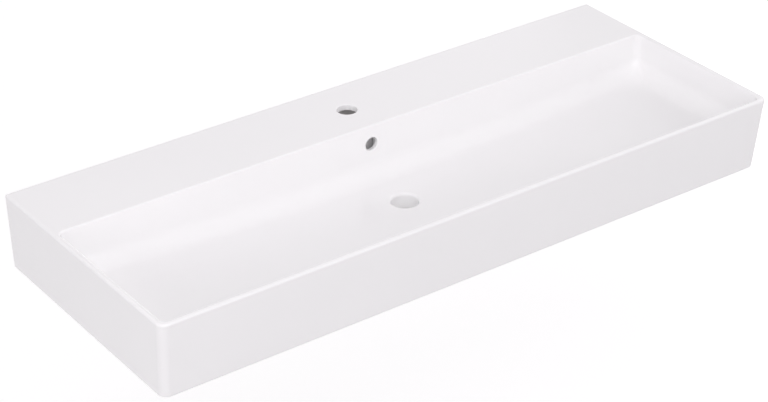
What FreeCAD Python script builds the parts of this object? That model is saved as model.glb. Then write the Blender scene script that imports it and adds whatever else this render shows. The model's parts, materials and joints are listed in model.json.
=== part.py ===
import FreeCAD
import Part
import math
import os

Vector = FreeCAD.Vector

# Ceramic block, in mm: the wall is the plane y = 0, the front faces -Y, up is +Z
basin_width = 1200.0
basin_depth = 470.0
basin_height = 135.0
side_taper = 4.5            # how far each side leans in, from its widest line down to the base
front_taper = 12.5
front_corner_radius = 14.0  # upright corners of the apron
back_edge_radius = 1.5      # edges that meet the wall
rim_radius = 4.0            # outer top edge
base_radius = 2.5           # outer bottom edge
wall = 10.0                 # ceramic thickness of the apron and the bowl
back_wall = 12.0            # ceramic thickness against the wall
deck_thickness = 10.0
hollow_corner_radius = 6.0  # upright corners of the hollow under the basin

# Bowl
deck_depth = 152.0          # ledge between the wall and the bowl
bowl_depth = 99.5           # from the rim to the floor beside the waste hole
floor_fall = 4.0            # from the foot of the bowl's back and front, at mid-width, to the waste hole
end_rise = 20.0             # how much higher the floor lies at its ends than at mid-width
back_taper = 4.0            # how far the bowl's back leans, over the apron's height
bowl_corner_radius = 12.0   # upright corners of the bowl
foot_radius = 32.0          # hollow between the bowl's sides and its floor
foot_corner_radius = 56.0   # corners of the bowl's floor in plan
bowl_edge_radius = 3.0      # inner edge of the rim

# Waste hole and the boss around it
waste_setback = 94.0        # from the ledge's front edge to the hole's middle
waste_radius = 23.0
waste_mouth_radius = 5.0    # rounding where the floor turns down into the hole
boss_wall = 12.0
boss_length = 35.0          # below the floor

# Overflow hole and the way that leads from it to the waste hole
overflow_drop = 35.0        # below the rim
overflow_radius = 12.0
overflow_edge_radius = 1.5
way_width = 36.0
way_depth = 16.0
way_headroom = 3.0          # above the overflow hole
way_outlet = 3.5            # height where it enters the waste hole
way_wall = 7.0
way_floor = 2.5

# Tap hole
tap_offset = 82.0           # from the wall
tap_hole_radius = 17.5
tap_edge_radius = 1.5

# Stiffening webs under the ledge
web_spacing = 600.0
web_thickness = 10.0
web_lift = 20.0             # above the base

# Wall fixings: the line through their axes is z = 0
fixing_height = 65.0        # above the base
inner_spacing = 280.0
outer_setback = 150.0       # from the basin's ends
fixing_hole_radius = 12.0
bush_clearance = 0.3        # bush in the ceramic
bush_flange_radius = 18.0
bush_flange = 4.0
bolt_radius = 5.0
bolt_clearance = 0.3        # bolt in the bush and the washer
thread_clearance = 0.1      # bolt in the nut and the plug
bolt_end = 14.0             # bolt past the nut
bolt_chamfer = 1.0
bolt_tip = 8.0
shank_reach = 8.0           # plain bolt to each side of the wall plane
machine_pitch = 1.5
machine_depth = 0.9
wood_pitch = 4.5
wood_depth = 1.4
socket_width = 5.0          # across flats
socket_depth = 5.0
washer_radius = 15.0
washer_thickness = 2.5
nut_width = 17.0            # across flats
nut_height = 8.0
nut_chamfer_angle = 30.0
plug_wall = 1.9
plug_length = 60.0
plug_end = 4.0              # solid end of the plug
plug_slit = 1.6
plug_slit_length = 32.0
plug_slit_turn = 45.0       # from level

# Levels and lines that follow from the sizes above
base = -fixing_height
top = base + basin_height
rim_line = top - rim_radius
waste_floor = top - bowl_depth
foot_floor = waste_floor + floor_fall
foot_top = foot_floor + foot_radius
boss_base = waste_floor - boss_length
mouth_ring = waste_radius + waste_mouth_radius
waste_offset = deck_depth + waste_setback
overflow_level = top - overflow_drop
way_front = way_wall - deck_depth
way_back = way_front + way_depth
bush_face = back_wall + bush_flange
nut_seat = bush_face + washer_thickness
nut_face = nut_seat + nut_height
bolt_face = nut_face + bolt_end
bolt_point = plug_length - plug_end
overcut = 5.0               # how far a cutting shape runs past what it cuts
near = 0.01                 # how close an edge lies to a plane that it is picked by
to_room = Vector(0, -1, 0)
outer_place = basin_width / 2 - outer_setback
fixing_places = {
    "outer_left": -outer_place,
    "inner_left": -inner_spacing / 2,
    "inner_right": inner_spacing / 2,
    "outer_right": outer_place,
}


def box(x, y, z):
    """A box from three (low, high) pairs."""
    size = [pair[1] - pair[0] for pair in (x, y, z)]
    return Part.makeBox(*size, Vector(x[0], y[0], z[0]))


def edges_within(shape, x, y, z):
    """The edges that lie inside a box given as three (low, high) pairs."""
    room = FreeCAD.BoundBox(x[0], y[0], z[0], x[1], y[1], z[1])
    return [edge for edge in shape.Edges if room.isInside(edge.BoundBox)]


def polar(centre, radius, degrees):
    turn = math.radians(degrees)
    return centre + Vector(radius * math.cos(turn), radius * math.sin(turn), 0)


def arc(centre, radius, start, end):
    points = [polar(centre, radius, a) for a in (start, (start + end) / 2, end)]
    return Part.Arc(*points).toShape()


def outline(half_width, front, back, front_radius, back_radius, level):
    """A level rectangle with rounded corners, or square ones where the radius is nothing."""
    corners = [
        (Vector(half_width - back_radius, back - back_radius, level), back_radius, 0),
        (Vector(back_radius - half_width, back - back_radius, level), back_radius, 90),
        (Vector(front_radius - half_width, front + front_radius, level), front_radius, 180),
        (Vector(half_width - front_radius, front + front_radius, level), front_radius, 270),
    ]
    edges = []
    for i, (centre, radius, start) in enumerate(corners):
        next_centre, next_radius, next_start = corners[(i + 1) % 4]
        if radius > 0:
            edges.append(arc(centre, radius, start, start + 90))
        line_start = polar(centre, radius, start + 90)
        line_end = polar(next_centre, next_radius, next_start)
        edges.append(Part.makeLine(line_start, line_end))
    return Part.Wire(edges)


def ring_outline(radius, level, side_angle=10):
    """The waste hole's edge in eight arcs, which answer to a rectangle's corners and sides."""
    centre = Vector(0, -waste_offset, level)
    edges = []
    for start in (0, 90, 180, 270):
        corner_start = start + side_angle / 2
        corner_end = start + 90 - side_angle / 2
        edges.append(arc(centre, radius, corner_start, corner_end))
        edges.append(arc(centre, radius, corner_end, corner_end + side_angle))
    return Part.Wire(edges)


def turned(x, points):
    """A solid turned about a fixing's axis; each point is (radius, distance from the wall to the room)."""
    corners = [Vector(x, -distance, radius) for radius, distance in points]
    return Part.Face(Part.makePolygon(corners + corners[:1])).revolve(Vector(x, 0, 0), to_room, 360)


def rod(x, radius, start, end):
    return Part.makeCylinder(radius, end - start, Vector(x, -start, 0), to_room)


def lean(level):
    """Share of the full taper at a level: none at the widest line, all of it at the base."""
    return (rim_line - level) / (rim_line - base)


def apron_outline(inset, back, front_radius, back_radius, level):
    half_width = basin_width / 2 - side_taper * lean(level) - inset
    front = front_taper * lean(level) - basin_depth + inset
    return outline(half_width, front, back, front_radius, back_radius, level)


def dished_outline(half_width, front, back, radius, level, rise):
    """A rectangle with rounded corners whose long sides sag to a level, a rise below its ends."""
    tilt = 2 * math.atan(rise / (half_width + radius))
    run = radius * math.cos(tilt)
    fall = radius * math.sin(tilt)
    inner = half_width - run
    hip = level + rise - fall
    edges = []
    for side, end, start in ((1, back, 0), (-1, back, 90), (-1, front, 180), (1, front, 270)):
        inward = radius if end == front else -radius
        corner = []
        for degrees in (start, start + 45, start + 90):
            turn = math.radians(degrees)
            corner.append(Vector(side * inner + run * math.cos(turn), end + inward + radius * math.sin(turn),
                                 hip + fall * abs(math.cos(turn))))
        edges.append(Part.Arc(*corner).toShape())
        if start in (0, 180):
            sag = Vector(0, end, level)
            edges.append(Part.Arc(corner[-1], sag, Vector(-corner[-1].x, end, hip)).toShape())
        else:
            other = front + radius if end == back else back - radius
            edges.append(Part.makeLine(corner[-1], Vector(corner[-1].x, other, level + rise)))
    return Part.Wire(edges)


def bowl_outline(inset, corner, level, rise, growth, drop):
    """The bowl's plan, drawn in by an inset at a level, then grown outward and dropped."""
    half_width = basin_width / 2 - wall - side_taper * lean(level + rise) - inset + growth
    front = front_taper * lean(level) - basin_depth + wall + inset - growth
    back = -deck_depth - back_taper * lean(level) - inset + growth
    radius = corner + growth
    if rise > 0:
        return dished_outline(half_width, front, back, radius, level - drop, rise)
    return outline(half_width, front, back, radius, radius, level - drop)


def bowl_solid(thickness):
    """The space inside the bowl or, with a thickness, that space grown by the ceramic around it."""
    mouth = bowl_outline(0, bowl_corner_radius, top + overcut, 0, thickness, 0)
    sections = []
    foot_steps = 6
    for step in range(foot_steps + 1):
        turn = math.radians(90 * step / foot_steps)
        share = 1 - math.cos(turn)
        corner = bowl_corner_radius + (foot_corner_radius - bowl_corner_radius) * share
        level = foot_top - foot_radius * math.sin(turn)
        sections.append(bowl_outline(foot_radius * share, corner, level, end_rise,
                                     thickness * math.cos(turn), thickness * math.sin(turn)))
    ring = ring_outline(mouth_ring, waste_floor - thickness)
    faces = [Part.Face(mouth), Part.Face(ring)]
    for wires, straight in (([mouth, sections[0]], True), (sections, False), ([sections[-1], ring], True)):
        faces += Part.makeLoft(wires, False, straight).Faces
    skin = Part.makeShell(faces)
    skin.sewShape()
    return Part.makeSolid(skin)


def waste_bore():
    """The waste hole: a rounded mouth over a straight bore that runs out below its boss."""
    low = boss_base - overcut
    turn_centre = Vector(mouth_ring, 0, waste_floor - waste_mouth_radius)
    bend = turn_centre + Vector(-waste_mouth_radius, 0, 0)
    lip = turn_centre + Vector(0, 0, waste_mouth_radius)
    middle = turn_centre + Vector(-waste_mouth_radius, 0, waste_mouth_radius) * math.sqrt(0.5)
    corners = [lip, Vector(0, 0, waste_floor), Vector(0, 0, low), Vector(waste_radius, 0, low), bend]
    edges = [Part.makeLine(a, b) for a, b in zip(corners, corners[1:])]
    edges.append(Part.Arc(bend, middle, lip).toShape())
    turned = Part.Face(Part.Wire(edges)).revolve(Vector(0, 0, 0), Vector(0, 0, 1), 360)
    turned.translate(Vector(0, -waste_offset, 0))
    return turned


def outer_block():
    """The apron's outer form with its rounded rim, base and wall edges."""
    low = apron_outline(0, 0, front_corner_radius, 0, base)
    high = apron_outline(0, 0, front_corner_radius, 0, top)
    block = Part.makeLoft([low, high], True, True)
    across = (-basin_width, basin_width)
    along = (-2 * basin_depth, near)
    for level, radius in ((top, rim_radius), (base, base_radius)):
        edges = edges_within(block, across, along, (level - near, level + near))
        off_wall = [edge for edge in edges if edge.BoundBox.YMin < -near]
        block = block.makeFillet(radius, off_wall)
    at_wall = edges_within(block, across, (-near, near), (base - near, top + near))
    return block.makeFillet(back_edge_radius, at_wall)


def under_hollow():
    """The open space under the ledge and around the bowl."""
    corner = hollow_corner_radius
    low = apron_outline(wall, -back_wall, corner, corner, base - overcut)
    high = apron_outline(wall, -back_wall, corner, corner, top - deck_thickness)
    return Part.makeLoft([low, high], True, True).cut(bowl_solid(wall))


def inner_walls():
    """The waste boss, the walls of the overflow way and the webs, which run on into the ceramic."""
    into_deck = top - deck_thickness / 2
    boss = Part.makeCylinder(waste_radius + boss_wall, foot_floor - boss_base,
                             Vector(0, -waste_offset, boss_base))
    side = way_width / 2 + way_wall
    upright = box((-side, side), (-deck_depth, way_back + way_wall), (boss_base, into_deck))
    level = box((-side, side), (-waste_offset, way_back + way_wall), (boss_base, foot_floor))
    walls = [boss, upright, level]
    for middle in (-web_spacing / 2, web_spacing / 2):
        walls.append(box((middle - web_thickness / 2, middle + web_thickness / 2),
                         (-deck_depth, -back_wall / 2), (base + web_lift, into_deck)))
    return walls


def ways_and_holes():
    """Everything that is cut from the ceramic besides the bowl and the hollow."""
    half = way_width / 2
    low = boss_base + way_floor
    high = overflow_level + overflow_radius + way_headroom
    upright = box((-half, half), (way_front, way_back), (low, high))
    level = box((-half, half), (-waste_offset, way_back), (low, low + way_outlet))
    overflow = Part.makeCylinder(overflow_radius, way_depth / 2 + wall + back_taper + overcut,
                                 Vector(0, way_front + way_depth / 2, overflow_level), to_room)
    tap = Part.makeCylinder(tap_hole_radius, deck_thickness + 2 * overcut,
                            Vector(0, -tap_offset, top - deck_thickness - overcut))
    cuts = [waste_bore(), upright, level, overflow, tap]
    for x in fixing_places.values():
        cuts.append(rod(x, fixing_hole_radius, -overcut, back_wall + overcut))
    return cuts


def basin_body():
    shell = outer_block().cut(under_hollow())
    shell = shell.fuse(inner_walls())
    shell = shell.cut([bowl_solid(0)] + ways_and_holes()).removeSplitter()

    at_top = (top - near, top + near)
    half_rim = basin_width / 2 - wall / 2
    bowl_edge = edges_within(shell, (-half_rim, half_rim),
                             (wall / 2 - basin_depth, wall / 2 - deck_depth), at_top)
    shell = shell.makeFillet(bowl_edge_radius, bowl_edge)
    reach = tap_hole_radius + near
    tap_edge = edges_within(shell, (-reach, reach), (-tap_offset - reach, reach - tap_offset), at_top)
    shell = shell.makeFillet(tap_edge_radius, tap_edge)
    reach = overflow_radius + near
    overflow_edge = edges_within(shell, (-reach, reach), (-deck_depth - back_taper, near - deck_depth),
                                 (overflow_level - reach, overflow_level + reach))
    return shell.makeFillet(overflow_edge_radius, overflow_edge)


def hexagon(x, width, start, end):
    """A hexagonal prism along a fixing's axis."""
    corner = width / math.sqrt(3)
    points = []
    for i in range(7):
        turn = math.radians(60 * i)
        points.append(Vector(x + corner * math.cos(turn), -start, corner * math.sin(turn)))
    return Part.Face(Part.makePolygon(points)).extrude(to_room * (end - start))


def thread(start, end, pitch, depth):
    """Crest and root points of a thread that runs toward the room."""
    points = [(bolt_radius, start)]
    for i in range(int((end - start) / pitch)):
        points.append((bolt_radius - depth, start + (i + 0.5) * pitch))
        points.append((bolt_radius, start + (i + 1) * pitch))
    return points


def hanger_bolt(x):
    """A wood thread in the plug, a plain shank at the wall and a machine thread in the basin."""
    points = [(0, -bolt_point)]
    points += thread(bolt_tip - bolt_point, -shank_reach, wood_pitch, wood_depth)
    points += thread(shank_reach, bolt_face - bolt_chamfer, machine_pitch, machine_depth)
    points += [(bolt_radius - bolt_chamfer, bolt_face), (0, bolt_face)]
    return turned(x, points).cut(hexagon(x, socket_width, bolt_face - socket_depth, bolt_face + overcut))


def wall_plug(x):
    """A tube with a solid end, slit both ways so that it can spread."""
    bore = bolt_radius + thread_clearance
    plug_radius = bore + plug_wall
    tube = rod(x, plug_radius, -plug_length, 0).cut(rod(x, bore, -bolt_point, 0))
    slit = (bolt_point - plug_slit_length, bolt_point)
    whole = (-plug_radius, plug_radius)
    narrow = (-plug_slit / 2, plug_slit / 2)
    slits = [box(whole, slit, narrow), box(narrow, slit, whole)]
    for cutter in slits:
        cutter.rotate(Vector(0, 0, 0), to_room, plug_slit_turn)
        cutter.translate(Vector(x, 0, 0))
    return tube.cut(slits)


def fixing_bush(x):
    """A sleeve through the ceramic with a flange on its room side."""
    bore = bolt_radius + bolt_clearance
    sleeve = fixing_hole_radius - bush_clearance
    return turned(x, [(bore, 0), (sleeve, 0), (sleeve, back_wall), (bush_flange_radius, back_wall),
                      (bush_flange_radius, bush_face), (bore, bush_face)])


def fixing_washer(x):
    disc = rod(x, washer_radius, bush_face, nut_seat)
    return disc.cut(rod(x, bolt_radius + bolt_clearance, bush_face, nut_seat))


def fixing_nut(x):
    """A hexagon with its corners turned off on both faces."""
    flat = nut_width / 2
    corner = nut_width / math.sqrt(3)
    rise = (corner - flat) * math.tan(math.radians(nut_chamfer_angle))
    blank = turned(x, [(0, nut_seat), (flat, nut_seat), (corner, nut_seat + rise),
                       (corner, nut_face - rise), (flat, nut_face), (0, nut_face)])
    nut = hexagon(x, nut_width, nut_seat, nut_face).common(blank)
    return nut.cut(rod(x, bolt_radius + thread_clearance, nut_seat, nut_face))


parts = {"basin_body": basin_body()}
for place, x in fixing_places.items():
    parts["wall_plug_" + place] = wall_plug(x)
    parts["fixing_bush_" + place] = fixing_bush(x)
fasteners = {"hanger_bolts": hanger_bolt, "fixing_washers": fixing_washer, "fixing_nuts": fixing_nut}
for name, piece in fasteners.items():
    parts[name] = Part.makeCompound([piece(x) for x in fixing_places.values()])

os.makedirs("parts", exist_ok=True)
for name, shape in parts.items():
    shape.exportStep("parts/" + name + ".step")
    print(name, len(shape.Solids), "solids", round(shape.Volume / 1000, 1), "cm3", shape.isValid())
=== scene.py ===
import bmesh
import bpy
import json
import math
from mathutils import Matrix, Vector


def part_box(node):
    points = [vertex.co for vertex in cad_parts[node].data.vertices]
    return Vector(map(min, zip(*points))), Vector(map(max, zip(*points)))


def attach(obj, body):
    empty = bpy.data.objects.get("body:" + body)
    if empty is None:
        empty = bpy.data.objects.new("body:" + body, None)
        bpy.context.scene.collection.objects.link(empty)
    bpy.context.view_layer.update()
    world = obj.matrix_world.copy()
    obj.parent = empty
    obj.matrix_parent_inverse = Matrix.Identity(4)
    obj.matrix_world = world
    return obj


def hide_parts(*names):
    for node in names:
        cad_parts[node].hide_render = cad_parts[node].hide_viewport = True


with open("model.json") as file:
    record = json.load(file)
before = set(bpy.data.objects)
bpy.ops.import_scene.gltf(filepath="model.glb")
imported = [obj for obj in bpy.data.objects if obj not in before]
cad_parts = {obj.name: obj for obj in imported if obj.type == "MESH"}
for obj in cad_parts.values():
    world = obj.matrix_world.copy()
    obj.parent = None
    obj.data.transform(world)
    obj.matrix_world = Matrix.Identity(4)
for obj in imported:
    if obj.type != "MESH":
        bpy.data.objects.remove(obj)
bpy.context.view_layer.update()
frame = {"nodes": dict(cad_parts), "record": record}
low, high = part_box("basin_body")  # wall plane at y 0, front towards -Y
mounts = {mount["name"]: mount for mount in frame["record"]["mounts"]}
plugMounts = {name: mount for name, mount in mounts.items() if name.startswith("wall_plug")}
scene = bpy.context.scene
upwards = Vector((0, 0, 1))
roomwards = Vector((0, -1, 0))
print("frame loaded:", len(frame["nodes"]), "nodes")

meshing = {
    "weld": 2e-6,  # points closer than this become one
    "touch": 1e-6,
    "slice": 1e-7,
    "turnSteps": 96,  # edges round a turned piece
    "sharpAngle": 35,  # degrees; edges bent further stay crisp
}


def newObject(name, bm, materials=()):
    mesh = bpy.data.meshes.new(name)
    bmesh.ops.recalc_face_normals(bm, faces=bm.faces)
    bm.to_mesh(mesh)
    bm.free()
    for material in materials:
        mesh.materials.append(material)
    made = bpy.data.objects.new(name, mesh)
    scene.collection.objects.link(made)
    return made


def vertsIn(geom):
    return [g for g in geom if isinstance(g, bmesh.types.BMVert)]


def addNode(tree, kind, inputs=None, **settings):
    made = tree.nodes.new(kind)
    for key, value in settings.items():
        setattr(made, key, value)
    for key, value in (inputs or {}).items():
        if isinstance(value, bpy.types.NodeSocket):
            tree.links.new(value, made.inputs[key])
        else:
            made.inputs[key].default_value = value
    return made


def maths(tree, operation, *values):
    return addNode(tree, "ShaderNodeMath", dict(enumerate(values)), operation=operation).outputs[0]


def seenDirectly(tree):  # by the camera, or in something shiny or clear
    light = addNode(tree, "ShaderNodeLightPath").outputs
    shiny = maths(tree, "MAXIMUM", light["Is Camera Ray"], light["Is Glossy Ray"])
    return maths(tree, "MAXIMUM", shiny, light["Is Transmission Ray"])


def newMaterial(name):
    material = bpy.data.materials.new(name)
    material.use_nodes = True
    return material, material.node_tree, material.node_tree.nodes["Principled BSDF"]


# patches tint a surface, grain sets its gloss and bump; each is scale, detail, low and high end
finishLooks = {
    "glaze": {
        "dark": (0.936, 0.936, 0.936), "light": (0.946, 0.946, 0.946), "rough": (0.18, 0.24), "metal": 0.0,
        "patch": (5.0, 3.0, 0.3, 0.7), "grain": (70.0, 2.0, 0.3, 0.7), "bump": (0.06, 0.0004),
    },
    # unglazed clay tone, darkened with painted shade so the hollow under the deck reads dark
    "biscuit": {
        "dark": (0.50, 0.49, 0.48), "light": (0.60, 0.59, 0.58), "rough": (0.65, 0.9), "metal": 0.0,
        "patch": (14.0, 5.0, 0.0, 1.0), "grain": (900.0, 3.0, 0.0, 1.0), "bump": (0.25, 0.0003),
    },
    "zinc_steel": {
        "dark": (0.50, 0.51, 0.53), "light": (0.70, 0.71, 0.72), "rough": (0.24, 0.42), "metal": 1.0,
        "patch": (240.0, 3.0, 0.0, 1.0), "grain": (1500.0, 2.0, 0.3, 0.7), "bump": (0.10, 0.0002),
    },
    "plug_nylon": {
        "dark": (0.40, 0.41, 0.43), "light": (0.50, 0.51, 0.53), "rough": (0.42, 0.60), "metal": 0.0,
        "patch": (90.0, 3.0, 0.0, 1.0), "grain": (1100.0, 2.0, 0.3, 0.7), "bump": (0.15, 0.0002),
    },
    "bush_plastic": {
        "dark": (0.74, 0.74, 0.72), "light": (0.84, 0.84, 0.82), "rough": (0.32, 0.46), "metal": 0.0,
        "patch": (70.0, 3.0, 0.0, 1.0), "grain": (900.0, 2.0, 0.3, 0.7), "bump": (0.10, 0.0002),
    },
}
fixingSlots = ("zinc_steel", "plug_nylon", "bush_plastic")
noiseNames = ("Patch", "Grain")
noiseParts = ("Scale", "Detail", "Low", "High")


def mottleGroup():
    tree = bpy.data.node_groups.new("mottle", "ShaderNodeTree")
    floats = [name + " " + part for name in noiseNames for part in noiseParts] + ["Rough Low", "Rough High"]
    tree.interface.new_socket("Vector", in_out="INPUT", socket_type="NodeSocketVector")
    for name in ("Dark", "Light"):
        tree.interface.new_socket(name, in_out="INPUT", socket_type="NodeSocketColor")
    for name in floats:
        tree.interface.new_socket(name, in_out="INPUT", socket_type="NodeSocketFloat")
    tree.interface.new_socket("Color", in_out="OUTPUT", socket_type="NodeSocketColor")
    for name in ("Roughness", "Height"):
        tree.interface.new_socket(name, in_out="OUTPUT", socket_type="NodeSocketFloat")
    given = addNode(tree, "NodeGroupInput").outputs
    noises = {}
    for name in noiseNames:
        inputs = {"Vector": given["Vector"]}
        for part in ("Scale", "Detail"):
            inputs[part] = given[name + " " + part]
        noises[name] = addNode(tree, "ShaderNodeTexNoise", inputs).outputs["Fac"]
    tint = addNode(tree, "ShaderNodeMapRange", {"Value": noises["Patch"], "From Min": given["Patch Low"],
                                               "From Max": given["Patch High"]})
    color = addNode(tree, "ShaderNodeMix", {"Factor": tint.outputs["Result"], "A": given["Dark"],
                                           "B": given["Light"]}, data_type="RGBA")
    rough = addNode(tree, "ShaderNodeMapRange", {"Value": noises["Grain"], "From Min": given["Grain Low"],
                                                "From Max": given["Grain High"], "To Min": given["Rough Low"],
                                                "To Max": given["Rough High"]})
    addNode(tree, "NodeGroupOutput", {"Color": color.outputs["Result"], "Roughness": rough.outputs["Result"],
                                      "Height": noises["Grain"]})
    return tree


mottleTree = mottleGroup()


def placeMottle(tree, place, look):
    inputs = {"Vector": place, "Dark": (*look["dark"], 1), "Light": (*look["light"], 1)}
    for name in noiseNames:
        for part, value in zip(noiseParts, look[name.lower()]):
            inputs[name + " " + part] = value
    inputs["Rough Low"], inputs["Rough High"] = look["rough"]
    return addNode(tree, "ShaderNodeGroup", inputs, node_tree=mottleTree).outputs


def dressShader(tree, shader, look, color, rough, height):
    strength, depth = look["bump"]
    bump = addNode(tree, "ShaderNodeBump", {"Strength": strength, "Distance": depth, "Height": height})
    tree.links.new(color, shader.inputs["Base Color"])
    tree.links.new(rough, shader.inputs["Roughness"])
    tree.links.new(bump.outputs["Normal"], shader.inputs["Normal"])
    shader.inputs["Metallic"].default_value = look["metal"]


def plainMaterial(name):
    material, tree, shader = newMaterial(name)
    look = finishLooks[name]
    place = addNode(tree, "ShaderNodeTexCoord").outputs["Object"]
    surface = placeMottle(tree, place, look)
    dressShader(tree, shader, look, surface["Color"], surface["Roughness"], surface["Height"])
    return material


glazeLine = {
    "glaze": {"bare": 0.0004, "covered": 0.0016},  # above the base, or out from the wall
    "boreGlaze": {"bare": 0.0005, "covered": 0.011},  # painted shade: darker towards the bottom of the waste bore
    "wander": 0.0008,
    "ripple": 60.0,
    "rippleDetail": 3.0,
    "ior": 1.5,
}


def glazeMaterial(name):
    material, tree, shader = newMaterial(name)
    look = finishLooks["glaze"]
    place = addNode(tree, "ShaderNodeTexCoord").outputs["Object"]
    coat = placeMottle(tree, place, look)
    # the bare colour is the unglazed clay tone with painted shade in it
    bare = placeMottle(tree, place, finishLooks["biscuit"])
    at = addNode(tree, "ShaderNodeSeparateXYZ", {0: place}).outputs
    above = maths(tree, "SUBTRACT", at["Z"], low.z)
    before = maths(tree, "SUBTRACT", high.y, at["Y"])
    edge = maths(tree, "MINIMUM", above, before)
    ripple = addNode(tree, "ShaderNodeTexNoise", {"Vector": place, "Scale": glazeLine["ripple"],
                                                 "Detail": glazeLine["rippleDetail"]})
    line = maths(tree, "MULTIPLY_ADD", ripple.outputs["Fac"], -glazeLine["wander"], edge)
    # in the waste bore this fade is painted shade, darker towards the bottom; elsewhere it is the glaze line
    # at the base and the wall
    cover = addNode(tree, "ShaderNodeMapRange", {"Value": line, "From Min": glazeLine[name]["bare"],
                                                "From Max": glazeLine[name]["covered"]}).outputs["Result"]
    color = addNode(tree, "ShaderNodeMix", {"Factor": cover, "A": bare["Color"], "B": coat["Color"]},
                    data_type="RGBA")
    rough = addNode(tree, "ShaderNodeMix", {"Factor": cover, "A": bare["Roughness"], "B": coat["Roughness"]})
    dressShader(tree, shader, look, color.outputs["Result"], rough.outputs["Result"], coat["Height"])
    shader.inputs["IOR"].default_value = glazeLine["ior"]
    return material


chinaFinish = [glazeMaterial("glaze"), plainMaterial("biscuit"), glazeMaterial("boreGlaze")]
# unglazed faces; their clay colour also carries painted shade
bareShadeSlot = 1
boreShadeSlot = 2
finishes = {slot: plainMaterial(slot) for slot in fixingSlots}
for part in frame["record"]["subparts"]:
    if part["material_slot"] in finishes:
        frame["nodes"][part["node"]].data.materials[0] = finishes[part["material_slot"]]
print("materials made")

china = {
    "sideTaper": 0.0045,  # lean of the sides, from the widest line to the base
    "frontTaper": 0.0125,
    "cornerRadius": 0.014,
    "backRadius": 0.0015,
    "rimRadius": 0.004,
    "baseRadius": 0.0025,
    "wall": 0.010,
    "backWall": 0.012,
    "deck": 0.010,
    "hollowCorner": 0.006,
    "ledge": 0.152,
    "bowlDepth": 0.0995,
    "floorFall": 0.004,
    "fallReach": 0.120,  # the floor turns down to the waste hole from this far out
    "fallPower": 1.5,  # higher turns down later
    "fallBlend": 4,  # how sharply the nearer foot shortens the reach
    "endRise": 0.020,  # the floor's ends lie higher than its middle
    "backTaper": 0.004,
    "bowlCorner": 0.012,
    "footRadius": 0.032,
    "footCorner": 0.056,
    "bowlEdge": 0.003,
    "wasteMouth": 0.005,
    "bossWall": 0.012,
    "bossLength": 0.035,
    "holeEdge": 0.0015,
    "wayWidth": 0.036,
    "wayDepth": 0.016,
    "wayHeadroom": 0.003,
    "wayOutlet": 0.0035,
    "wayWall": 0.007,
    "wayFloor": 0.0025,
    "webSpacing": 0.600,
    "webThickness": 0.010,
    "webLift": 0.020,
    "fixingRadius": 0.012,
    "cornerSteps": 10,  # edges round an upright corner
    "longSteps": 24,
    "shortSteps": 10,
    "apronSteps": 4,
    "wallSteps": 5,
    "footSteps": 14,
    "floorSteps": 20,
    "roundSteps": 5,
    "mouthSteps": 8,
    "lipSteps": 5,
    "overcut": 0.005,
    "tapLift": 0.00002,  # keeps the cutter's lip off the ledge's plane
    "bareDepth": 0.00001,  # faces this near the base and the wall are left bare
}


def holeRadius(mount):
    return mount["dims"]["r_mm"] / 1000


halfWidth = (high.x - low.x) / 2
rimLine = high.z - china["rimRadius"]
wasteFloor = high.z - china["bowlDepth"]
footFloor = wasteFloor + china["floorFall"]
footTop = footFloor + china["footRadius"]
bossBase = wasteFloor - china["bossLength"]
wayFront = china["wayWall"] - china["ledge"]
wayBack = wayFront + china["wayDepth"]
tapHole = mounts["tap_hole"]
overflowHole = mounts["overflow_hole"]
wasteY = mounts["waste_hole"]["pos_m"][1]
wasteRadius = holeRadius(mounts["waste_hole"])
mouthRing = wasteRadius + china["wasteMouth"]
ringCount = 4 * china["cornerSteps"] + 2 * china["longSteps"] + 2 * china["shortSteps"]


def arcTurns(steps):
    return [math.pi / 2 * step / steps for step in range(steps + 1)]


def lean(level):
    return (rimLine - level) / (rimLine - low.z)


def apronFront(level):
    return low.y + china["frontTaper"] * lean(level)


def bowlHalf(level):
    return halfWidth - china["wall"] - china["sideTaper"] * lean(level)


def bowlBack(level):
    return -china["ledge"] - china["backTaper"] * lean(level)


footHalf = bowlHalf(footFloor + china["endRise"]) - china["footRadius"]
backRun = bowlBack(footFloor) - china["footRadius"] - wasteY  # from the waste hole to the back's foot


def ring(bm, half, front, back, frontRadius, backRadius, level):
    known = set(bm.edges)
    middle = (front + back) / 2
    plane = bmesh.ops.create_grid(bm, x_segments=1, y_segments=1, size=0.5)["verts"]  # a unit square
    bmesh.ops.scale(bm, vec=(2 * half, back - front, 1), verts=plane)
    bmesh.ops.translate(bm, vec=(0, middle, level), verts=plane)
    corners = {frontRadius: [v for v in plane if v.co.y < middle]}
    corners.setdefault(backRadius, []).extend(v for v in plane if v.co.y > middle)
    for radius, verts in corners.items():
        bmesh.ops.bevel(bm, geom=verts, offset=radius, affect="VERTICES", segments=china["cornerSteps"],
                        profile=0.5, material=-1)
    edges = [e for e in bm.edges if e not in known]
    bmesh.ops.delete(bm, geom=list({f for e in edges for f in e.link_faces}), context="FACES_ONLY")
    sides = sorted(edges, key=lambda e: e.calc_length())[-4:]
    for run, steps in ((sides[2:], china["longSteps"]), (sides[:2], china["shortSteps"])):
        bmesh.ops.subdivide_edges(bm, edges=run, cuts=steps - 1)
    return [e for e in bm.edges if e not in known]


def apronRing(bm, inset, back, frontRadius, backRadius, level):
    half = halfWidth - china["sideTaper"] * lean(level) - inset
    return ring(bm, half, apronFront(level) + inset, back, frontRadius, backRadius, level)


def roundedInset(radius, height):
    reach = max(0, radius - height)  # height is measured from the edge's plane
    return radius - math.sqrt(radius ** 2 - reach ** 2)


def edgeRing(bm, radius, height, level):
    return apronRing(bm, roundedInset(radius, height), -roundedInset(china["backRadius"], height),
                     china["cornerRadius"], china["backRadius"], level)


def dish(x, half, corner, rise):  # a round bend that runs out into straight slopes at the ends
    slope = 2 * math.atan(rise / (half + corner))
    inner = half - corner * math.cos(slope)
    if abs(x) > inner:
        return rise - (half - abs(x)) * math.tan(slope)
    bend = inner / math.sin(slope)
    return bend - math.sqrt(bend ** 2 - x ** 2)


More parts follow.
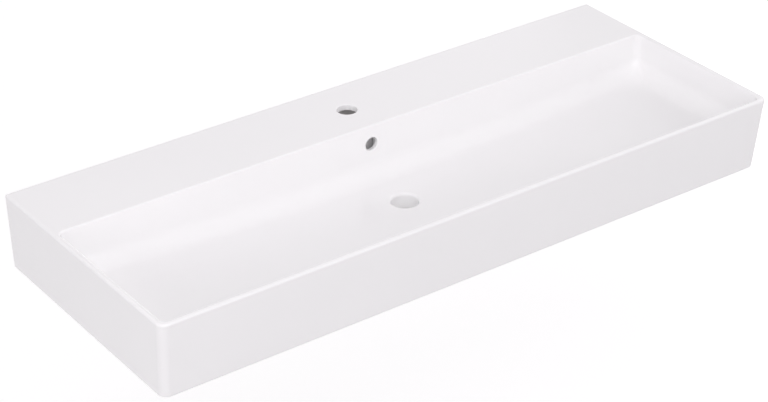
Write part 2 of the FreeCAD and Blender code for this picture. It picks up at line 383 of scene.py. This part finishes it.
def bowlRing(bm, inset, corner, level, growth=0, drop=0, rise=0):
    half = bowlHalf(level + rise) - inset + growth
    front = apronFront(level) + china["wall"] + inset - growth
    back = bowlBack(level) - inset + growth
    edges = ring(bm, half, front, back, corner + growth, corner + growth, level - drop)
    if rise > 0:
        for v in {v for e in edges for v in e.verts}:
            v.co.z += dish(v.co.x, half, corner + growth, rise)
    return edges


def footRings(bm, growth=0):
    rings = []
    for turn in arcTurns(china["footSteps"]):
        share = 1 - math.cos(turn)
        corner = china["bowlCorner"] + (china["footCorner"] - china["bowlCorner"]) * share
        level = footTop - china["footRadius"] * math.sin(turn)
        rings.append(bowlRing(bm, china["footRadius"] * share, corner, level,
                              growth * math.cos(turn), growth * math.sin(turn), china["endRise"]))
    return rings


def wasteRing(bm, level):
    verts = bmesh.ops.create_circle(bm, segments=ringCount, radius=mouthRing,
                                    matrix=Matrix.Translation((0, wasteY, level)))["verts"]
    return list({e for v in verts for e in v.link_edges})


def skin(bm, rings):
    for first, second in zip(rings, rings[1:]):
        bmesh.ops.bridge_loops(bm, edges=first + second)


def cap(bm, edges):
    bmesh.ops.edgeloop_fill(bm, edges=edges)


def outside(bm):  # from the base up to the rim's top
    rings = []
    for turn in arcTurns(china["roundSteps"]):
        height = china["baseRadius"] * (1 - math.cos(turn))
        rings.append(edgeRing(bm, china["baseRadius"], height, low.z + height))
    for step in range(1, china["apronSteps"]):
        level = low.z + (rimLine - low.z) * (step / china["apronSteps"])
        rings.append(apronRing(bm, 0, 0, china["cornerRadius"], china["backRadius"], level))
    for turn in arcTurns(china["roundSteps"]):
        height = china["rimRadius"] * (1 - math.sin(turn))
        rings.append(edgeRing(bm, china["rimRadius"], height, high.z - height))
    skin(bm, rings)
    cap(bm, rings[0])
    return rings[-1]


def inside(bm):  # from the bowl's edge down to the foot of its walls
    rings = []
    for turn in arcTurns(china["roundSteps"]):
        height = china["bowlEdge"] * (1 - math.cos(turn))
        out = roundedInset(china["bowlEdge"], height)
        rings.append(bowlRing(bm, -out, china["bowlCorner"], high.z - height))
    for step in range(1, china["wallSteps"]):
        share = step / china["wallSteps"]
        level = high.z - china["bowlEdge"] + (footTop - high.z + china["bowlEdge"]) * share
        rings.append(bowlRing(bm, 0, china["bowlCorner"], level, rise=china["endRise"] * share))
    rings += footRings(bm)
    skin(bm, rings)
    return rings[0], rings[-1]


def floorLevel(x, y):
    away = Vector((x, y - wasteY))
    reach = china["fallReach"]
    if away.y > 0:  # the back's foot is nearer
        blend = china["fallBlend"]
        back = backRun * away.length / away.y - mouthRing
        reach = (reach ** -blend + back ** -blend) ** (-1 / blend)
    fall = china["floorFall"] * max(0, 1 - (away.length - mouthRing) / reach) ** china["fallPower"]
    return footFloor + dish(x, footHalf, china["footCorner"], china["endRise"]) - fall


def wasteBore(bm, edge):  # rolls over the mouth and runs down through the boss
    axis = Matrix.Translation((0, -wasteY, 0))
    roll = china["wasteMouth"]
    drops = [(mouthRing - roll * math.sin(turn), wasteFloor - roll * (1 - math.cos(turn)))
             for turn in arcTurns(china["mouthSteps"])[1:]]
    drops += [(wasteRadius, (bossBase + wasteFloor) / 2), (wasteRadius, (bossBase + low.z) / 2)]
    radius = mouthRing
    level = wasteFloor
    for nextRadius, nextLevel in drops:
        grown = bmesh.ops.extrude_edge_only(bm, edges=edge)["geom"]
        verts = vertsIn(grown)
        bmesh.ops.scale(bm, vec=(nextRadius / radius, nextRadius / radius, 1), space=axis, verts=verts)
        bmesh.ops.translate(bm, vec=(0, 0, nextLevel - level), verts=verts)
        edge = [g for g in grown if isinstance(g, bmesh.types.BMEdge) and all(v in verts for v in g.verts)]
        radius = nextRadius
        level = nextLevel
    cap(bm, edge)


def chinaShell():
    bm = bmesh.new()
    rim = outside(bm)
    bowlEdge, foot = inside(bm)
    mouth = list({v for e in bowlEdge for v in e.verts})
    bmesh.ops.translate(bm, vec=(0, 0, -china["bowlDepth"]), verts=mouth)  # off the rim's plane to bridge
    bmesh.ops.bridge_loops(bm, edges=rim + bowlEdge)
    bmesh.ops.translate(bm, vec=(0, 0, china["bowlDepth"]), verts=mouth)
    edge = wasteRing(bm, wasteFloor)
    spokes = bmesh.ops.bridge_loops(bm, edges=foot + edge)["edges"]
    cutFloor = bmesh.ops.subdivide_edges(bm, edges=spokes, cuts=china["floorSteps"] - 1, use_grid_fill=True)
    for v in vertsIn(cutFloor["geom_inner"]):
        v.co.z = floorLevel(v.co.x, v.co.y)
    wasteBore(bm, edge)
    return newObject("basin", bm, chinaFinish)


def hollowCutter():
    bm = bmesh.new()
    corner = china["hollowCorner"]
    rings = [apronRing(bm, china["wall"], -china["backWall"], corner, corner, level)
             for level in (low.z - china["overcut"], high.z - china["deck"])]
    skin(bm, rings)
    cap(bm, rings[0])
    cap(bm, rings[1])
    return newObject("hollow", bm, chinaFinish)


def grownBowl():
    bm = bmesh.new()
    rings = [bowlRing(bm, 0, china["bowlCorner"], high.z + china["overcut"], china["wall"])]
    rings += footRings(bm, china["wall"])
    rings.append(wasteRing(bm, wasteFloor - china["wall"]))
    skin(bm, rings)
    cap(bm, rings[0])
    cap(bm, rings[-1])
    return newObject("grownBowl", bm, chinaFinish)


def block(name, x, y, z):
    bm = bmesh.new()
    verts = bmesh.ops.create_cube(bm, size=1)["verts"]
    bmesh.ops.scale(bm, vec=(x[1] - x[0], y[1] - y[0], z[1] - z[0]), verts=verts)
    bmesh.ops.translate(bm, vec=((x[0] + x[1]) / 2, (y[0] + y[1]) / 2, (z[0] + z[1]) / 2), verts=verts)
    return newObject(name, bm, chinaFinish)


def drawProfile(bm, profile):
    last = bmesh.ops.create_vert(bm, co=(profile[0][0], 0, profile[0][1]))["vert"][0]
    for radius, height in profile[1:]:
        last = bmesh.ops.extrude_vert_indiv(bm, verts=[last])["verts"][0]
        last.co = (radius, 0, height)


def aimed(place, axis):
    return Matrix.Translation(place) @ axis.to_track_quat("Z", "Y").to_matrix().to_4x4()


def turned(name, profile, place, axis):
    bm = bmesh.new()
    drawProfile(bm, profile)
    bmesh.ops.spin(bm, geom=bm.verts[:] + bm.edges[:], cent=(0, 0, 0), axis=upwards, angle=2 * math.pi,
                   steps=meshing["turnSteps"], use_merge=True)
    bmesh.ops.remove_doubles(bm, verts=bm.verts, dist=meshing["weld"])
    bmesh.ops.transform(bm, matrix=aimed(place, axis), verts=bm.verts)
    return newObject(name, bm, chinaFinish)


def cylinder(name, radius, start, stop, place, axis):
    return turned(name, [(0, start), (radius, start), (radius, stop), (0, stop)], place, axis)


def lippedProfile(radius, length):
    edge = china["holeEdge"]
    points = [(0, china["overcut"]), (radius + edge, china["overcut"])]
    for turn in arcTurns(china["lipSteps"]):
        points.append((radius + edge - edge * math.sin(turn), -edge * (1 - math.cos(turn))))
    return points + [(radius, -length), (0, -length)]


def carve(target, cutters):
    for cutter in cutters:
        change = target.modifiers.new("carve", "BOOLEAN")
        change.object = cutter
        change.operation = "DIFFERENCE"
        change.solver = "EXACT"
        evaluated = target.evaluated_get(bpy.context.evaluated_depsgraph_get())
        target.data = bpy.data.meshes.new_from_object(evaluated)
        target.modifiers.clear()
        bpy.data.objects.remove(cutter)
        bm = bmesh.new()
        bm.from_mesh(target.data)
        bmesh.ops.remove_doubles(bm, verts=bm.verts, dist=meshing["weld"])  # closes the cut's seams
        bmesh.ops.dissolve_degenerate(bm, edges=bm.edges, dist=meshing["touch"])
        bm.to_mesh(target.data)
        bm.free()


def softEdges(piece):
    piece.data.shade_smooth()
    piece.data.set_sharp_from_angle(angle=math.radians(meshing["sharpAngle"]))


def paint(piece, index):
    for face in piece.data.polygons:
        face.material_index = index
    return piece


def innerWalls():  # what stays standing in the hollow
    intoDeck = high.z - china["deck"] / 2
    side = china["wayWidth"] / 2 + china["wayWall"]
    rear = wayBack + china["wayWall"]
    thick = china["webThickness"] / 2
    bossRadius = wasteRadius + china["bossWall"]
    walls = [
        grownBowl(),
        cylinder("boss", bossRadius, 0, footFloor - bossBase, (0, wasteY, bossBase), upwards),
        block("upright", (-side, side), (-china["ledge"], rear), (bossBase, intoDeck)),
        block("level", (-side, side), (wasteY + wasteRadius / 2, rear), (bossBase, footFloor)),
    ]
    for place in (-china["webSpacing"] / 2, china["webSpacing"] / 2):
        walls.append(block("web", (place - thick, place + thick), (-china["ledge"], -china["backWall"] / 2),
                           (low.z + china["webLift"], intoDeck)))
    return walls


def waterWays():
    half = china["wayWidth"] / 2
    wayLow = bossBase + china["wayFloor"]
    level = overflowHole["pos_m"][2]
    radius = holeRadius(overflowHole)
    lip = lippedProfile(radius, china["wall"] + china["wayDepth"] / 2)
    return [
        block("way", (-half, half), (wayFront, wayBack), (wayLow, level + radius + china["wayHeadroom"])),
        block("outlet", (-half, half), (wasteY, wayBack), (wayLow, wayLow + china["wayOutlet"])),
        turned("overflow", lip, (0, bowlBack(level), level), roomwards),
    ]


def tapCutter():
    lip = lippedProfile(holeRadius(tapHole), china["deck"] + china["overcut"])
    return turned("tap", lip, (0, tapHole["pos_m"][1], high.z + china["tapLift"]), upwards)


def fixingHoles():
    holes = []
    start = -china["overcut"]
    stop = china["backWall"] + china["overcut"]
    for mount in plugMounts.values():
        place = (mount["pos_m"][0], 0, mount["pos_m"][2])
        hole = cylinder("fixing", china["fixingRadius"], start, stop, place, roomwards)
        holes.append(paint(hole, bareShadeSlot))
    return holes


def makeChina():
    hollow = hollowCutter()
    carve(hollow, innerWalls())
    # the hollow's faces take the unglazed clay colour, darkened with painted shade
    paint(hollow, bareShadeSlot)
    basin = chinaShell()
    carve(basin, [hollow, *waterWays(), tapCutter(), *fixingHoles()])
    for face in basin.data.polygons:
        at = face.center
        if at.z < low.z + china["bareDepth"] or at.y > -china["bareDepth"]:
            face.material_index = bareShadeSlot
        # painted shade: the waste bore's faces take the glaze that darkens towards the bottom
        elif math.hypot(at.x, at.y - wasteY) < mouthRing and at.z < wasteFloor:
            face.material_index = boreShadeSlot
    softEdges(basin)
    basin.modifiers.new("weighted", "WEIGHTED_NORMAL").keep_sharp = True
    return basin


basin = makeChina()
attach(basin, "root")
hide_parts("basin_body")
print("china made:", len(basin.data.polygons), "faces")

bolt = {
    "radius": 0.005,
    "point": -0.056,  # in the wall; the end in the room is positive
    "pointScale": 0.05,  # the point's blunt end, as a share of the rod
    "tip": 0.008,
    "shank": 0.008,
    "face": 0.0405,
    "chamfer": 0.001,
    "wood": {"pitch": 0.0045, "root": 0.0036, "flank": 0.0009},
    "machine": {"pitch": 0.0015, "root": 0.0041, "flank": 0.0006},
    "leadIn": 0.3,  # turns of plain rod before the groove
    "socket": 0.005,  # across flats
    "socketDepth": 0.005,
    "steps": 48,
}


def toRoom(mount):
    return aimed((mount["pos_m"][0], 0, 0), roomwards)


def openLoop(bm, level):
    touch = meshing["touch"]
    return [e for e in bm.edges if e.is_boundary and all(abs(v.co.z - level) < touch for v in e.verts)]


def growLoop(bm, level, nextLevel, scale):
    verts = vertsIn(bmesh.ops.extrude_edge_only(bm, edges=openLoop(bm, level))["geom"])
    bmesh.ops.scale(bm, vec=(scale, scale, 1), verts=verts)
    bmesh.ops.translate(bm, vec=(0, 0, nextLevel - level), verts=verts)


def threadedTube(start, length, thread):
    bm = bmesh.new()
    pitch = thread["pitch"]
    crest = bolt["radius"]
    root = thread["root"]
    flank = thread["flank"]
    runOut = 1 + bolt["leadIn"]
    turns = int(length / pitch - runOut)
    first = start + bolt["leadIn"] * pitch
    last = first + turns * pitch
    stop = last + runOut * pitch
    points = [(crest, first - 2 * pitch), (crest, first - pitch), (crest, first)]
    for turn in range(turns):
        at = first + turn * pitch
        points += [(root, at + flank), (root, at + pitch - flank), (crest, at + pitch)]
    drawProfile(bm, points + [(crest, last + pitch), (crest, last + 2 * pitch)])
    bmesh.ops.spin(bm, geom=bm.verts[:] + bm.edges[:], cent=(0, 0, 0), axis=upwards, angle=2 * math.pi,
                   dvec=(0, 0, pitch / bolt["steps"]), steps=bolt["steps"])
    bmesh.ops.remove_doubles(bm, verts=bm.verts, dist=meshing["weld"])
    under = first - meshing["touch"]
    over = last + pitch + meshing["touch"]
    gaps = [e for e in bm.edges if e.is_boundary and all(under < v.co.z < over for v in e.verts)]
    bmesh.ops.holes_fill(bm, edges=gaps, sides=0)  # the groove's two ends
    for level, way in ((start, -1), (stop, 1)):
        bmesh.ops.bisect_plane(bm, geom=bm.verts[:] + bm.edges[:] + bm.faces[:], dist=meshing["slice"],
                               plane_co=(0, 0, level), plane_no=(0, 0, way), clear_outer=True)
    mesh = bpy.data.meshes.new("thread")
    bm.to_mesh(mesh)
    bm.free()
    return mesh, start, stop


def socketCutter():
    bm = bmesh.new()
    corner = bolt["socket"] / math.sqrt(3)
    bmesh.ops.create_cone(bm, cap_ends=True, segments=6, radius1=corner, radius2=corner,
                          depth=2 * bolt["socketDepth"], matrix=Matrix.Translation((0, 0, bolt["face"])))
    return newObject("socket", bm)


def makeBolts():
    tipEnd = bolt["point"] + bolt["tip"]
    shoulder = bolt["face"] - bolt["chamfer"]
    shank = bolt["shank"]
    wood, woodStart, woodStop = threadedTube(tipEnd, -shank - tipEnd, bolt["wood"])
    machine, machineStart, machineStop = threadedTube(shank, shoulder - shank, bolt["machine"])
    bm = bmesh.new()
    bm.from_mesh(wood)
    bm.from_mesh(machine)
    bmesh.ops.bridge_loops(bm, edges=openLoop(bm, woodStop) + openLoop(bm, machineStart))
    growLoop(bm, woodStart, bolt["point"], bolt["pointScale"])
    growLoop(bm, machineStop, shoulder, 1)
    growLoop(bm, shoulder, bolt["face"], 1 - bolt["chamfer"] / bolt["radius"])
    for level in (bolt["point"], bolt["face"]):
        cap(bm, openLoop(bm, level))
    pattern = newObject("bolt", bm)
    carve(pattern, [socketCutter()])
    bm = bmesh.new()
    for mount in plugMounts.values():
        known = set(bm.verts)
        bm.from_mesh(pattern.data)
        bmesh.ops.transform(bm, matrix=toRoom(mount), verts=[v for v in bm.verts if v not in known])
    bpy.data.objects.remove(pattern)
    return newObject("bolts", bm, [finishes["zinc_steel"]])


bolts = makeBolts()
softEdges(bolts)
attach(bolts, "root")
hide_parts("hanger_bolts")
print("bolts made:", len(bolts.data.polygons), "faces")

plug = {
    "radius": 0.007,
    "bore": 0.0051,
    "length": 0.060,
    "end": 0.004,  # left solid
    "mouth": 0.0005,
    "collar": 0.004,
    "rib": 0.003,
    "ribDepth": 0.0006,
    "ribStep": 0.0001,  # height of a rib's steep side
    "nose": 0.0045,
    "slit": 0.0016,
    "slitLength": 0.032,
    "slitReach": 0.01,  # past the plug's outside
    "slitTurn": 45,
}


def makePlugPattern():
    deep = -plug["length"]
    bottom = deep + plug["end"]
    radius = plug["radius"]
    bore = plug["bore"]
    groove = radius - plug["ribDepth"]
    level = -plug["collar"]
    points = [(0, bottom), (bore, bottom), (bore, -plug["mouth"]), (bore + plug["mouth"], 0),
              (radius, 0), (radius, level)]
    while level - plug["rib"] > bottom:
        points += [(groove, level - plug["ribStep"]), (radius, level - plug["rib"])]
        level -= plug["rib"]
    points += [(groove, level - plug["ribStep"]), (plug["nose"], deep), (0, deep)]
    pattern = turned("plug", points, (0, 0, 0), upwards)
    slits = []
    for turn in (plug["slitTurn"], -plug["slitTurn"]):
        slit = block("slit", (-plug["slitReach"], plug["slitReach"]), (-plug["slit"] / 2, plug["slit"] / 2),
                     (bottom, bottom + plug["slitLength"]))
        slit.data.transform(Matrix.Rotation(math.radians(turn), 4, "Z"))
        slits.append(slit)
    carve(pattern, slits)
    return pattern


pattern = makePlugPattern()
for name, mount in plugMounts.items():
    bm = bmesh.new()
    bm.from_mesh(pattern.data)
    bmesh.ops.transform(bm, matrix=toRoom(mount), verts=bm.verts)
    made = newObject(name.replace("wall_", ""), bm, [finishes["plug_nylon"]])
    softEdges(made)
    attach(made, "root")
    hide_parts(name)
bpy.data.objects.remove(pattern)
print("plugs made:", len(plugMounts))

stage = {
    "floorDrop": 0.715,
    "floorSize": 30.0,
    "floorGrey": 0.6,
    "floorRoughness": 0.9,
    "floorGlow": 0.55,
    "horizon": 0.843,
    "zenith": 0.393,
    "white": (1, 1, 1, 1),
    "tint": (1, 0.972, 1),
    "lampSize": 1.8,
    "lampReach": 3.6,
}


def makeFloor():
    bm = bmesh.new()
    bmesh.ops.create_grid(bm, x_segments=1, y_segments=1, size=stage["floorSize"] / 2,
                          matrix=Matrix.Translation((0, 0, low.z - stage["floorDrop"])))
    material, tree, shader = newMaterial("floorPaint")
    shader.inputs["Base Color"].default_value = (stage["floorGrey"],) * 3 + (1,)
    shader.inputs["Roughness"].default_value = stage["floorRoughness"]
    paintwork = shader.outputs[0]
    glow = addNode(tree, "ShaderNodeEmission", {"Color": stage["white"], "Strength": stage["floorGlow"]})
    both = addNode(tree, "ShaderNodeAddShader", {0: paintwork, 1: glow.outputs[0]})
    top = addNode(tree, "ShaderNodeMixShader", {0: seenDirectly(tree), 1: paintwork, 2: both.outputs[0]})
    under = addNode(tree, "ShaderNodeNewGeometry").outputs["Backfacing"]
    clear = addNode(tree, "ShaderNodeBsdfTransparent").outputs[0]
    sheer = addNode(tree, "ShaderNodeMixShader", {0: under, 1: top.outputs[0], 2: clear})  # open from below
    tree.links.new(sheer.outputs[0], tree.nodes["Material Output"].inputs["Surface"])
    return newObject("floor", bm, [material])


floor = makeFloor()

softboxes = {  # degrees round from the front and up, watts
    "key": (-40, 55, 28.2),
    "front": (-10, 32, 20.2),
    "left": (-76, 12, 17.3),
    "right": (60, 12, 7.4),
    "backRight": (105, 32, 14.2),
    "back": (150, 12, 5.6),
}
middle = Vector((0, low.y / 2, 0))
for name, (turn, up, watts) in softboxes.items():
    lamp = bpy.data.lights.new(name, "AREA")
    lamp.size = stage["lampSize"]
    lamp.energy = watts
    lamp.color = stage["tint"]
    held = bpy.data.objects.new(name, lamp)
    scene.collection.objects.link(held)
    spin = Matrix.Rotation(math.radians(turn), 4, "Z") @ Matrix.Rotation(math.radians(-up), 4, "X")
    held.location = middle + spin @ Vector((0, -stage["lampReach"], 0))
    held.rotation_euler = (middle - held.location).to_track_quat("-Z", "Y").to_euler()
    held.visible_camera = False

world = bpy.data.worlds.new("studio")
scene.world = world
world.use_nodes = True
sky = world.node_tree
ray = addNode(sky, "ShaderNodeTexCoord").outputs["Generated"]
rise = addNode(sky, "ShaderNodeSeparateXYZ", {0: ray}).outputs["Z"]
dome = addNode(sky, "ShaderNodeMapRange", {"Value": rise, "To Min": stage["horizon"],
                                          "To Max": stage["zenith"]})
glow = addNode(sky, "ShaderNodeVectorMath", {0: stage["tint"], "Scale": dome.outputs[0]}, operation="SCALE")
pick = addNode(sky, "ShaderNodeMix", {"Factor": seenDirectly(sky), "A": glow.outputs[0], "B": stage["white"]},
               data_type="RGBA")
sky.links.new(pick.outputs["Result"], sky.nodes["Background"].inputs["Color"])
print("stage lit:", len(softboxes), "lamps")

view = {
    "lens": 105.0,
    "sensor": 36.0,
    "place": (-1.91536, -2.81456, 1.82179),
    "tilt": 59.9588,  # degrees up from looking straight down
    "turn": -36.0952,
}
camera = bpy.data.objects.new("camera", bpy.data.cameras.new("camera"))
scene.collection.objects.link(camera)
camera.data.lens = view["lens"]
camera.data.sensor_width = view["sensor"]
camera.location = view["place"]
camera.rotation_euler = (math.radians(view["tilt"]), 0, math.radians(view["turn"]))
scene.camera = camera
scene.view_settings.view_transform = "Standard"
print("camera set")
